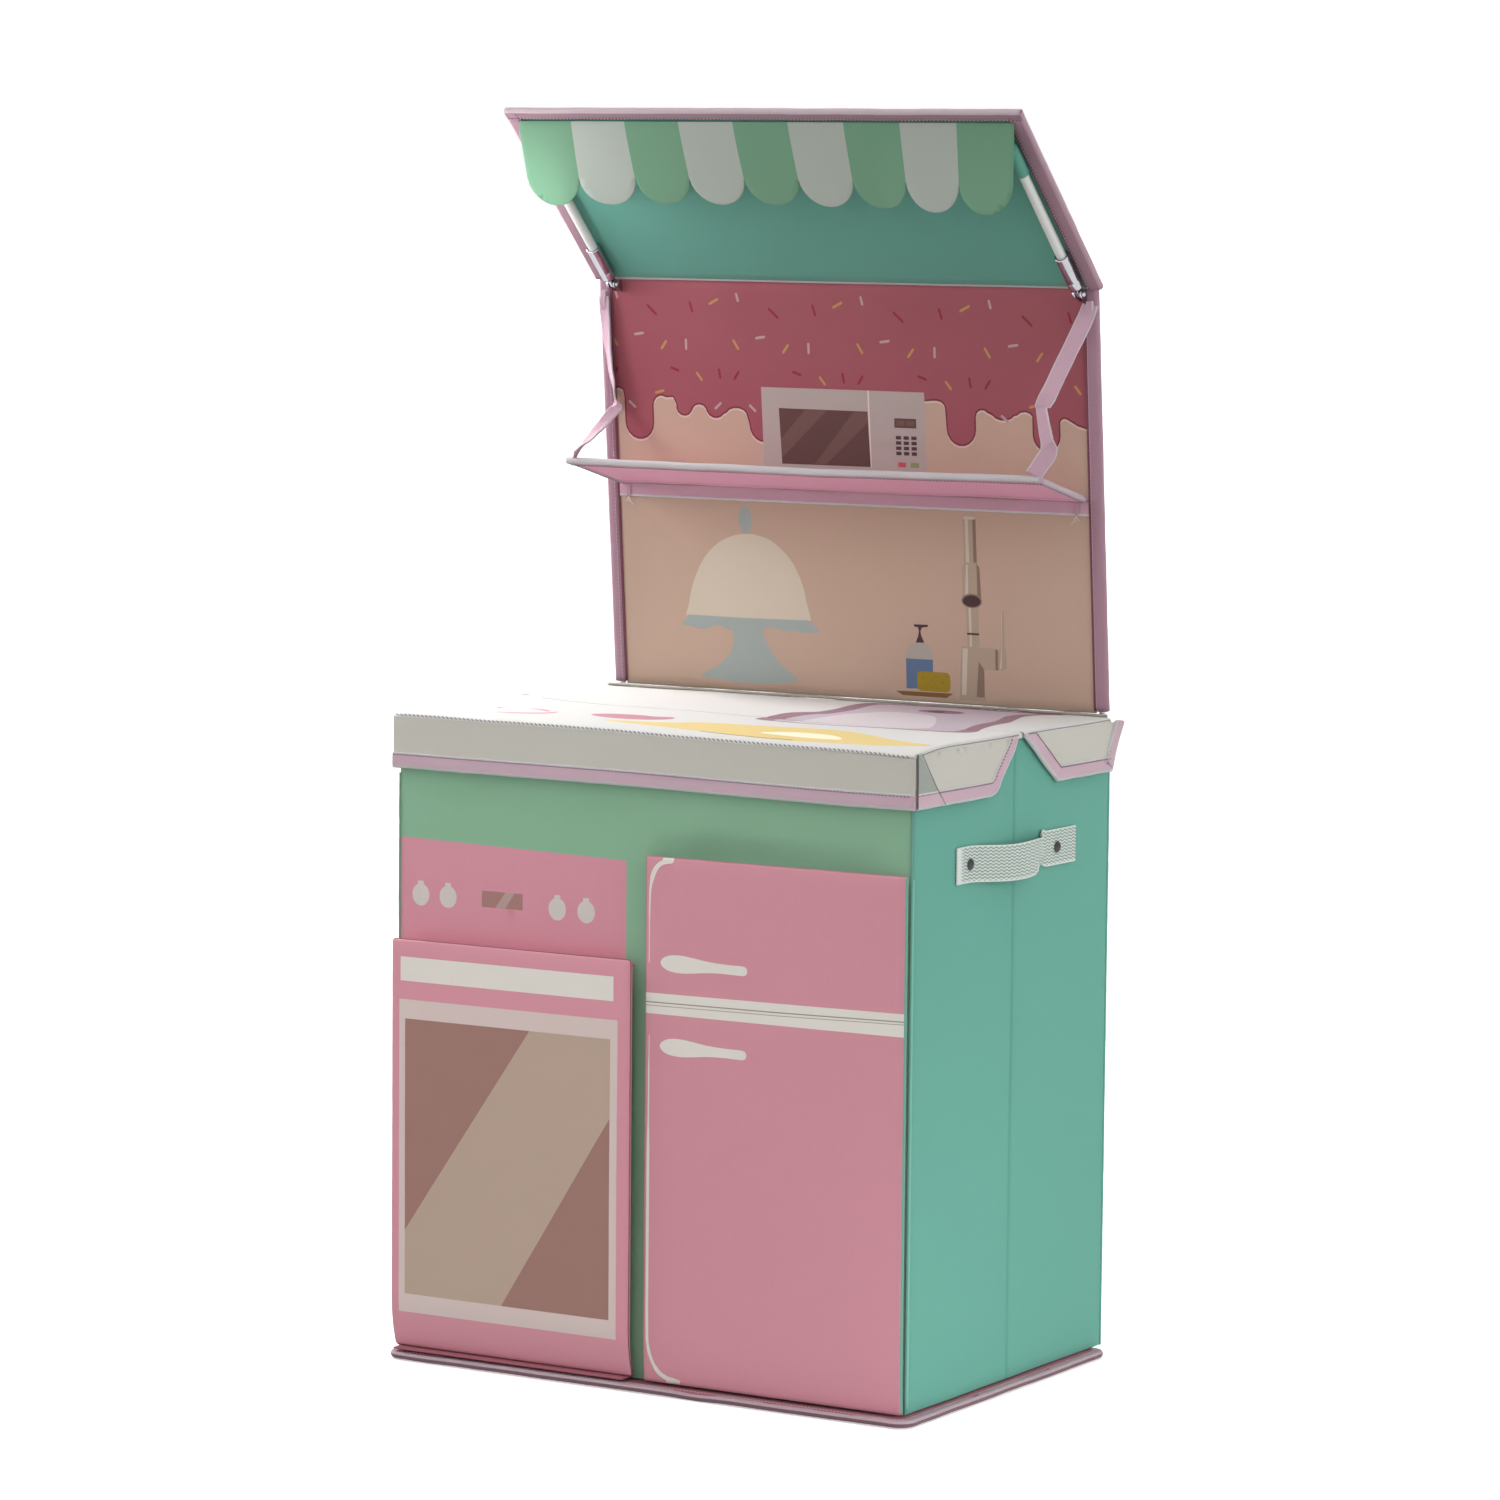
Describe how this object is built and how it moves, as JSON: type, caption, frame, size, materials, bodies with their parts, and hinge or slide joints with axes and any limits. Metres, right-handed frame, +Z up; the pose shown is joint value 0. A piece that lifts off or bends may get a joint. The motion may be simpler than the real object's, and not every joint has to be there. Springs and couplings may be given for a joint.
{
  "type": "toy kitchen",
  "caption": "Collapsible fabric toy kitchen and toy box: folding box with opening doors, skirted folding lid, and a pole-mounted backdrop with shelf and canopy.",
  "frame": {"origin": "centre of the whole object's footprint, on the floor", "axes": "+Z up, +X to the right seen from the front, -Y towards the front (the doors)"},
  "size_m": [0.5282, 0.3702, 1.0523],
  "materials": {
    "mint_fabric": "polyester cover over board, mint green",
    "teal_fabric": "polyester cover over board, teal",
    "pink_fabric": "printed polyester cover, pink",
    "binding": "pale pink woven binding tape, stitched",
    "worktop_fabric": "off-white printed polyester",
    "backdrop_print": "printed polyester, icing over a pale wall",
    "webbing": "white cotton webbing",
    "striped_fabric": "green and white striped polyester",
    "tube": "translucent white plastic tube",
    "chrome": "bright plated steel",
    "touch_tape": "hook and loop tape"
  },
  "bodies": {
    "box": {"base_board": "teal_fabric", "base_binding": "binding", "rear_wall": "teal_fabric", "pole_sleeve_left": "teal_fabric", "pole_sleeve_right": "teal_fabric"},
    "side_left_rear": {"side_left_rear_panel": "teal_fabric", "handle_left": "webbing", "rivet_left_rear": "chrome"},
    "side_left_front": {"side_left_front_panel": "teal_fabric", "rivet_left_front": "chrome"},
    "side_right_rear": {"side_right_rear_panel": "teal_fabric", "handle_right": "webbing", "rivet_right_rear": "chrome"},
    "side_right_front": {"side_right_front_panel": "teal_fabric", "rivet_right_front": "chrome"},
    "front": {"front_wall": "mint_fabric", "oven_hinge_flap": "pink_fabric", "fridge_hinge_tape": "pink_fabric", "oven_hook_tape": "touch_tape", "fridge_hook_tape": "touch_tape"},
    "oven": {"oven_door": "pink_fabric", "oven_loop_tape": "touch_tape"},
    "fridge": {"fridge_door": "pink_fabric", "fridge_loop_tape": "touch_tape"},
    "lid_rear": {"lid_rear_panel": "worktop_fabric", "lid_rear_skirt_left": "worktop_fabric", "lid_rear_skirt_right": "worktop_fabric", "lid_rear_piping": "worktop_fabric"},
    "lid_front": {"lid_front_panel": "worktop_fabric", "lid_skirt_front": "worktop_fabric", "lid_front_skirt_left": "worktop_fabric", "lid_front_skirt_right": "worktop_fabric"},
    "backdrop": {"backdrop_panel": "backdrop_print", "backdrop_casing_left": "binding", "backdrop_casing_right": "binding", "pole_left": "chrome", "pole_right": "chrome", "shelf_seam_band": "binding", "knuckle_left": "chrome", "knuckle_right": "chrome", "knuckle_pin_left": "chrome", "knuckle_pin_right": "chrome", "shelf_strap_left": "binding", "shelf_strap_right": "binding"},
    "shelf": {"shelf_panel": "pink_fabric", "shelf_front_binding": "binding"},
    "canopy": {"canopy_panel": "teal_fabric", "canopy_front_binding": "binding", "canopy_side_binding_left": "binding", "canopy_side_binding_right": "binding", "valance": "striped_fabric", "strut_left": "tube", "strut_right": "tube", "ferrule_left": "chrome", "ferrule_right": "chrome", "strut_pocket_left": "teal_fabric", "strut_pocket_right": "teal_fabric"}
  },
  "joints": [
    {"name": "collapse", "type": "hinge", "parent": "box", "child": "side_left_rear", "pos_m": [-0.244, 0.17055, 0.27], "axis": [0, 0, 1], "range_deg": [0, 82], "deforming": ["handle_left"]},
    {"name": "fold_left", "type": "hinge", "parent": "side_left_rear", "child": "side_left_front", "pos_m": [-0.247, 0.0051, 0.27], "axis": [0, 0, 1], "range_deg": [-164, 0]},
    {"name": "front_turn", "type": "hinge", "parent": "side_left_front", "child": "front", "pos_m": [-0.244, -0.16035, 0.27], "axis": [0, 0, 1], "range_deg": [0, 82]},
    {"name": "collapse_right", "type": "hinge", "parent": "box", "child": "side_right_rear", "pos_m": [0.244, 0.17055, 0.27], "axis": [0, 0, 1], "range_deg": [-82, 0], "deforming": ["handle_right"]},
    {"name": "fold_right", "type": "hinge", "parent": "side_right_rear", "child": "side_right_front", "pos_m": [0.247, 0.0051, 0.27], "axis": [0, 0, 1], "range_deg": [0, 164]},
    {"name": "oven_hinge", "type": "hinge", "parent": "front", "child": "oven", "pos_m": [0, -0.18165, 0.0105], "axis": [1, 0, 0], "range_deg": [0, 90]},
    {"name": "fridge_hinge", "type": "hinge", "parent": "front", "child": "fridge", "pos_m": [0.249, -0.16655, 0.22], "axis": [0, 0, 1], "range_deg": [0, 150]},
    {"name": "lid_hinge", "type": "hinge", "parent": "box", "child": "lid_rear", "pos_m": [0, 0.16735, 0.5388], "axis": [1, 0, 0], "range_deg": [-55, 0]},
    {"name": "lid_fold", "type": "hinge", "parent": "lid_rear", "child": "lid_front", "pos_m": [0, 0.01235, 0.5448], "axis": [-1, 0, 0], "range_deg": [0, 140]},
    {"name": "backdrop_lift", "type": "slide", "parent": "box", "child": "backdrop", "axis": [0, 0, 1], "range_m": [0, 0.46]},
    {"name": "shelf_fold", "type": "hinge", "parent": "backdrop", "child": "shelf", "pos_m": [-0.0035, 0.15719, 0.72723], "axis": [1, 0, 0], "range_deg": [-62, 0], "deforming": ["shelf_strap_left", "shelf_strap_right"]},
    {"name": "canopy_tilt", "type": "hinge", "parent": "backdrop", "child": "canopy", "pos_m": [0, 0.1357, 0.90002], "axis": [1, 0, 0], "range_deg": [0, 75]}
  ],
  "couplings": [
    {"joint": "fold_left", "follows": "collapse", "ratio": -2},
    {"joint": "front_turn", "follows": "collapse", "ratio": 1},
    {"joint": "collapse_right", "follows": "collapse", "ratio": -1},
    {"joint": "fold_right", "follows": "collapse", "ratio": 2}
  ]
}
